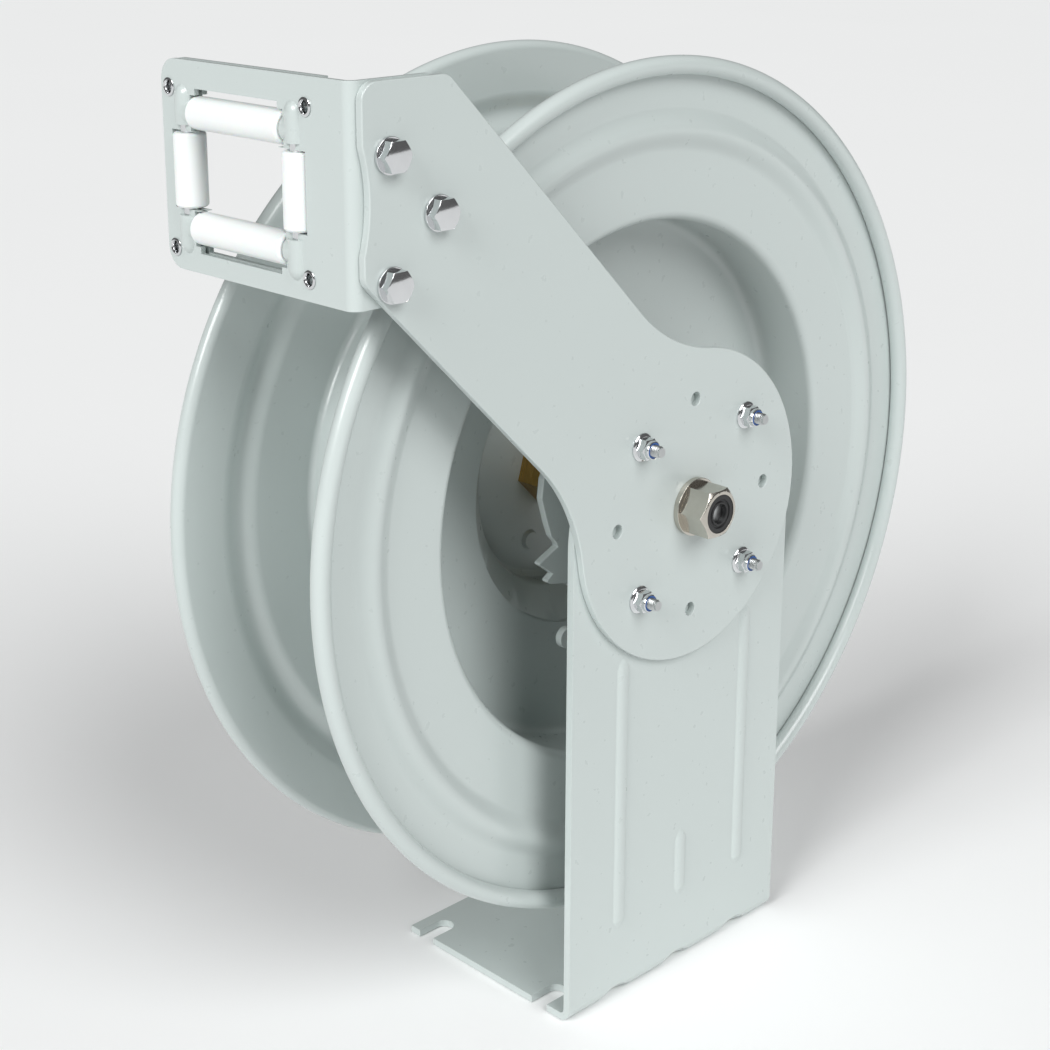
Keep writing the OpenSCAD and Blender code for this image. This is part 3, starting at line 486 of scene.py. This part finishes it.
def middles(node, count):
    """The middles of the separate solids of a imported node, found from its welded islands."""
    bm = bmesh.new()
    bm.from_mesh(frame["nodes"][node].data)
    bmesh.ops.remove_doubles(bm, verts=bm.verts, dist=WELD)
    left, found = set(bm.verts), []
    while left:
        todo, island = [left.pop()], []
        while todo:
            vert = todo.pop()
            island.append(vert.co.copy())
            for edge in vert.link_edges:
                other = edge.other_vert(vert)
                if other in left:
                    left.discard(other)
                    todo.append(other)
        low = Vector([min(c[k] for c in island) for k in range(3)])
        high = Vector([max(c[k] for c in island) for k in range(3)])
        found.append((low, high))
    bm.free()
    if len(found) != count:
        raise ValueError(node + " has " + str(len(found)) + " solids")
    return sorted(found, key=lambda pair: tuple(round(v, 5) for v in pair[0]))


# ---------------------------------------------------------------- operators


class Builder:
    """What the operators share."""

    bl_options = {"REGISTER", "UNDO"}

    @property
    def sizes(self):
        return bpy.context.scene.hosereel_sizes

    @property
    def colours(self):
        return bpy.context.scene.hosereel_colours


class HOSEREEL_OT_pedestal(Builder, bpy.types.Operator):
    """Finish the bent-plate pedestal and the clamped guide arm"""

    bl_idname = "hosereel.pedestal"
    bl_label = "Pedestal and arm"

    def execute(self, context):
        dress(["pedestal", "guide_arm"], self.colours, self.sizes.edge_mm)
        return {"FINISHED"}


class HOSEREEL_OT_discs(Builder, bpy.types.Operator):
    """Spin the two drum discs with their rolled rims, beads and halves of the barrel"""

    bl_idname = "hosereel.discs"
    bl_label = "Drum discs"

    def outline(self, depth, inner, slope, disc_r):
        """The closed section of a disc, in mm, from its rolled rim to its floor's inner edge."""
        s = self.sizes
        half = s.sheet_t / 2
        curl = s.rim_r - half
        face = -curl
        wall = s.barrel_r - s.sheet_t
        path = arc((disc_r - s.rim_r, 0), curl, 215, -90, 30)
        for i in range(25):
            r = s.bead_c + s.bead_w * (0.5 - i / 24)
            path.append((r, face + s.bead_h * math.cos(math.pi * (r - s.bead_c) / s.bead_w) ** 2))
        path += arc((wall + s.lip_r, face + half - s.lip_r), s.lip_r - half, 90, 180, 10)
        path += arc((wall - s.corner_r, s.corner_r - depth), s.corner_r + half, 0, slope - 90, 10)
        run = path[-1][0] - inner
        path.append((inner, path[-1][1] - run * math.tan(math.radians(slope))))
        return sheet_loop(path, s.sheet_t)

    def execute(self, context):
        s = self.sizes
        near_low, near_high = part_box("post_side_disc")
        far_low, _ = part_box("far_side_disc")
        disc_r = (near_high.y - near_low.y) / 2 / MM
        axle_z = (near_high.z + near_low.z) / 2
        near_rim = near_high.x - s.rim_r * MM
        far_rim = far_low.x + s.rim_r * MM
        slope = math.degrees(math.atan(s.floor_drop / (s.barrel_r - s.sheet_t - s.corner_r - s.floor_r)))
        width = (near_rim - far_rim) / MM
        gap = 0.3
        far_depth = width - s.recess_d - 2 * s.sheet_t - gap
        far_floor_r = s.floor_r + 22
        for node, depth, inner, lean, rim, way in (
            ("post_side_disc", s.recess_d, s.floor_r, slope, near_rim, 1),
            ("far_side_disc", far_depth, far_floor_r, -slope, far_rim, -1),
        ):
            bm = bmesh.new()
            section = self.outline(depth, inner, lean, disc_r)
            spin(bm, [(r * MM, z * MM) for r, z in section], s.spin_steps)
            turn = Matrix(((0, 0, way, rim), (1, 0, 0, 0), (0, 1, 0, axle_z), (0, 0, 0, 1)))
            bmesh.ops.transform(bm, matrix=turn, verts=bm.verts)
            bmesh.ops.recalc_face_normals(bm, faces=bm.faces)
            settle(new_piece(node + "_piece", bm), node, self.colours)
        return {"FINISHED"}


class HOSEREEL_OT_hub(Builder, bpy.types.Operator):
    """Finish the hub dish, the brass swivel and its pipe, and the ratchet wheel"""

    bl_idname = "hosereel.hub"
    bl_label = "Hub and swivel"

    def execute(self, context):
        dress(["hub_dish", "ratchet_wheel", "swivel_body"], self.colours, self.sizes.edge_mm)
        plain = ["main_shaft", "swivel_seals", "riser_tube", "outlet_elbow", "ratchet_screws"]
        dress(plain, self.colours, 0.0)
        dress(["inlet_fitting", "thrust_washer", "shaft_clip", "rear_bush"], self.colours, 0.2)
        return {"FINISHED"}


class HOSEREEL_OT_motor(Builder, bpy.types.Operator):
    """Finish the spring case, its cover and the power spring inside"""

    bl_idname = "hosereel.motor"
    bl_label = "Spring motor"

    def execute(self, context):
        dress(["spring_case", "case_cover"], self.colours, self.sizes.edge_mm)
        plain = ["power_spring", "spring_arbor", "arbor_key", "case_bolts", "case_nuts"]
        dress(plain, self.colours, 0.0)
        dress(["cover_screws"], self.colours, 0.3)
        return {"FINISHED"}


class HOSEREEL_OT_pawl(Builder, bpy.types.Operator):
    """Finish the pawl, its studs and its spring"""

    bl_idname = "hosereel.pawl"
    bl_label = "Pawl"

    def execute(self, context):
        dress(["pawl"], self.colours, 0.3)
        plain = ["pawl_pin", "pawl_pivot", "pawl_clip", "pawl_stop", "spring_anchor", "pawl_spring"]
        dress(plain, self.colours, 0.0)
        return {"FINISHED"}


class HOSEREEL_OT_guide(Builder, bpy.types.Operator):
    """Finish the hose guide's plates, pins and rollers, and set its tubular rivets"""

    bl_idname = "hosereel.guide"
    bl_label = "Hose guide"

    def rivet(self, length):
        """An open tubular rivet along Z with flared ends, its middle at the origin."""
        r, bore, flare, lip = 3.15 * MM, 2.45 * MM, 4.1 * MM, 0.9 * MM
        half = length / 2
        side = [(bore, half - 1.2 * lip), (bore + 0.3 * lip, half - 0.5 * lip), (3.1 * MM, half)]
        side += [(flare - 0.5 * MM, half - 0.05 * lip), (flare, half - 0.45 * lip)]
        side += [(flare - 0.2 * MM, half - lip), (r, half - lip)]
        bm = bmesh.new()
        spin(bm, side + [(q, -z) for q, z in side[::-1]], 40)
        return new_piece("tubular_rivet", bm)

    def execute(self, context):
        dress(["guide_bracket", "guide_back_plate"], self.colours, self.sizes.edge_mm)
        dress(["upright_pins", "level_pins"], self.colours, 0.4)
        dress(["top_roller", "bottom_roller", "near_roller", "far_roller"], self.colours, 0.3)
        spans = middles("guide_rivets", 4)
        length = spans[0][1].y - spans[0][0].y
        places = [(low + high) / 2 for low, high in spans]
        copies(
            "tubular_rivets", self.rivet(length), places, TO_FRONT, "guide_rivets", self.colours
        )
        return {"FINISHED"}


class HOSEREEL_OT_fasteners(Builder, bpy.types.Operator):
    """Make the screws, nuts, washers and threaded ends that show on the arm"""

    bl_idname = "hosereel.fasteners"
    bl_label = "Fasteners"

    screw_across = 13 * MM
    screw_head = 5.3 * MM
    screw_r = 4 * MM
    screw_pitch = 1.25 * MM
    hole_in_head = 0.0005 * MM  # closes the head's faces at the middle
    nut_across = 10 * MM
    nut_bore = 3.02  # mm
    stud_r = 3 * MM
    stud_pitch = 1.0 * MM
    stud_head_r = 6.3 * MM
    stud_head_h = 3.5 * MM

    def screw(self, length):
        """A hexagon screw along Z with its head at the high end, its middle at the origin."""
        half = length / 2
        neck = half - self.screw_head
        bm = bmesh.new()
        hexagon_shell(bm, self.screw_across, neck, half, self.hole_in_head)
        top = new_piece("screw_head", bm)
        bm = bmesh.new()
        spin(bm, thread_outline(self.screw_r, -half, neck, self.screw_pitch), 40, closed=False)
        bm.from_mesh(top.data)
        bpy.data.objects.remove(top)
        return new_piece("screw", bm)

    def flange_nut(self, height):
        """A flange nut along Z with a rounded flange and a collar, its middle at the origin."""
        low = -height / 2
        bore = self.nut_bore
        bm = bmesh.new()
        hexagon_shell(bm, self.nut_across, low + 0.9 * MM, low + 6.0 * MM, bore * MM)
        body = new_piece("nut_body", bm)
        flange = [(bore, 0.0), (7.0, 0.0), (7.1, 0.2), (7.1, 0.7), (6.6, 1.25), (5.2, 1.6), (bore, 1.6)]
        collar = [(4.1, 5.6), (4.7, 5.6), (4.7, 7.3), (4.45, 7.85), (4.1, 8.0)]
        bm = bmesh.new()
        for part in (flange, collar):
            spin(bm, [(r * MM, low + z * MM) for r, z in part], 48)
        bm.from_mesh(body.data)
        bpy.data.objects.remove(body)
        return new_piece("flange_nut", bm)

    def stud(self, length):
        """A threaded stud along Z with a round head at the low end, its middle at the origin."""
        half = length / 2
        start = -half + self.stud_head_h - 0.1 * MM
        bm = bmesh.new()
        spin(bm, thread_outline(self.stud_r, start, half, self.stud_pitch), 32, closed=False)
        head = [(0.0, -half), (self.stud_head_r - 0.7 * MM, -half)]
        head += [(self.stud_head_r, -half + 0.9 * MM), (self.stud_head_r, -half + self.stud_head_h)]
        spin(bm, head + [(0.0, -half + self.stud_head_h)], 32, closed=False)
        return new_piece("stud", bm)

    def execute(self, context):
        for node, count, name, make in (
            ("bracket_bolts", 3, "guide_screws", self.screw),
            ("clamp_nuts", 4, "flange_nuts", self.flange_nut),
            ("clamp_studs", 4, "clamp_stud_set", self.stud),
        ):
            spans = middles(node, count)
            length = spans[0][1].x - spans[0][0].x
            places = [(low + high) / 2 for low, high in spans]
            copies(name, make(length), places, TO_AXLE, node, self.colours)
        dress(["clamp_nut_inserts", "bracket_nuts"], self.colours, 0.0)
        dress(["bracket_washers", "shaft_washer"], self.colours, 0.25)
        dress(["shaft_nut", "shaft_nut_insert"], self.colours, 0.3)
        return {"FINISHED"}


class HOSEREEL_OT_stage(Builder, bpy.types.Operator):
    """Set the pale floor, the soft lights and the camera"""

    bl_idname = "hosereel.stage"
    bl_label = "Studio"

    floor_half = 20  # m
    floor_gap = 0.0004  # m below the reel's foot
    lens = 65.76  # mm
    shift = (0.0238, -0.119)
    eye_at = (0.6604, -0.7055, 0.5846)
    eye_around, eye_above, eye_roll = 0.8031, 0.2820, -0.0008  # radians
    lit, shown = 0.13, 1.0  # the world's strength as a light, and as it is seen

    def light(self, name, around, above, spread, strength):
        """A broad soft light from far away, its direction in degrees about the reel and above it."""
        lamp = bpy.data.lights.new(name, "SUN")
        lamp.angle = math.radians(spread)
        lamp.energy = strength
        holder = bpy.data.objects.new(name, lamp)
        holder.rotation_euler = (math.radians(90 - above), 0.0, math.radians(around))
        bpy.context.scene.collection.objects.link(holder)

    def execute(self, context):
        scene = context.scene
        scene.view_settings.view_transform = "Standard"
        low = CAD_BOX[0]
        bm = bmesh.new()
        bmesh.ops.create_grid(bm, x_segments=1, y_segments=1, size=self.floor_half)
        bmesh.ops.translate(bm, verts=bm.verts, vec=(0, 0, low.z - self.floor_gap))
        floor = new_piece("floor", bm)
        floor.data.materials.append(
            surface(
                "pale_matt_floor", linear("#F7F8F8"), linear("#F5F6F6"), 900, 30, 0.0, (0.85, 0.95),
                {"IOR": 1.4},
            )
        )
        world = bpy.data.worlds.new("studio")
        world.use_nodes = True
        tree = world.node_tree
        tree.nodes.clear()
        seen = put(tree, "ShaderNodeLightPath").outputs["Is Camera Ray"]
        glow = put(tree, "ShaderNodeMapRange", {"Value": seen, "To Min": self.lit, "To Max": self.shown})
        sky = put(tree, "ShaderNodeBackground", {"Strength": glow.outputs["Result"]})
        put(tree, "ShaderNodeOutputWorld", {"Surface": sky.outputs["Background"]})
        sky.inputs["Color"].default_value = (1.0, 1.0, 1.0, 1.0)
        scene.world = world
        self.light("front_left", 8, 34, 30, 2.35)
        self.light("front_right", 84, 40, 36, 1.85)
        eye = bpy.data.cameras.new("camera")
        eye.sensor_width = 36.0
        eye.lens = self.lens
        eye.shift_x, eye.shift_y = self.shift
        eye.clip_start, eye.clip_end = 0.05, 60.0
        holder = bpy.data.objects.new("camera", eye)
        around, above = self.eye_around, self.eye_above
        back = Vector(
            (math.sin(around) * math.cos(above), -math.cos(around) * math.cos(above), math.sin(above))
        )
        holder.location = self.eye_at
        holder.rotation_mode = "QUATERNION"
        level = back.to_track_quat("Z", "Y")
        holder.rotation_quaternion = level @ Matrix.Rotation(self.eye_roll, 3, "Z").to_quaternion()
        scene.collection.objects.link(holder)
        scene.camera = holder
        return {"FINISHED"}


class HOSEREEL_PT_panel(bpy.types.Panel):
    """The reel's sizes, colours and builders"""

    bl_idname = "HOSEREEL_PT_panel"
    bl_label = "Hose reel"
    bl_space_type = "VIEW_3D"
    bl_region_type = "UI"
    bl_category = "Hose reel"

    def draw(self, context):
        for group in (context.scene.hosereel_sizes, context.scene.hosereel_colours):
            box = self.layout.box()
            for key in group.bl_rna.properties.keys():
                if key not in ("rna_type", "name"):
                    box.prop(group, key)
        for step in STEPS:
            self.layout.operator(step.bl_idname)


STEPS = (
    HOSEREEL_OT_stage,
    HOSEREEL_OT_pedestal,
    HOSEREEL_OT_discs,
    HOSEREEL_OT_hub,
    HOSEREEL_OT_motor,
    HOSEREEL_OT_pawl,
    HOSEREEL_OT_guide,
    HOSEREEL_OT_fasteners,
)
CLASSES = (HOSEREEL_PG_sizes, HOSEREEL_PG_colours) + STEPS + (HOSEREEL_PT_panel,)


def register():
    for each in CLASSES:
        bpy.utils.register_class(each)
    bpy.types.Scene.hosereel_sizes = bpy.props.PointerProperty(type=HOSEREEL_PG_sizes)
    bpy.types.Scene.hosereel_colours = bpy.props.PointerProperty(type=HOSEREEL_PG_colours)


def unregister():
    del bpy.types.Scene.hosereel_colours
    del bpy.types.Scene.hosereel_sizes
    for each in reversed(CLASSES):
        bpy.utils.unregister_class(each)


def main():
    """Builds everything in order."""
    register()
    for step in STEPS:
        family, action = step.bl_idname.split(".")
        getattr(getattr(bpy.ops, family), action)()
    bpy.context.view_layer.update()


if __name__ == "__main__":
    main()
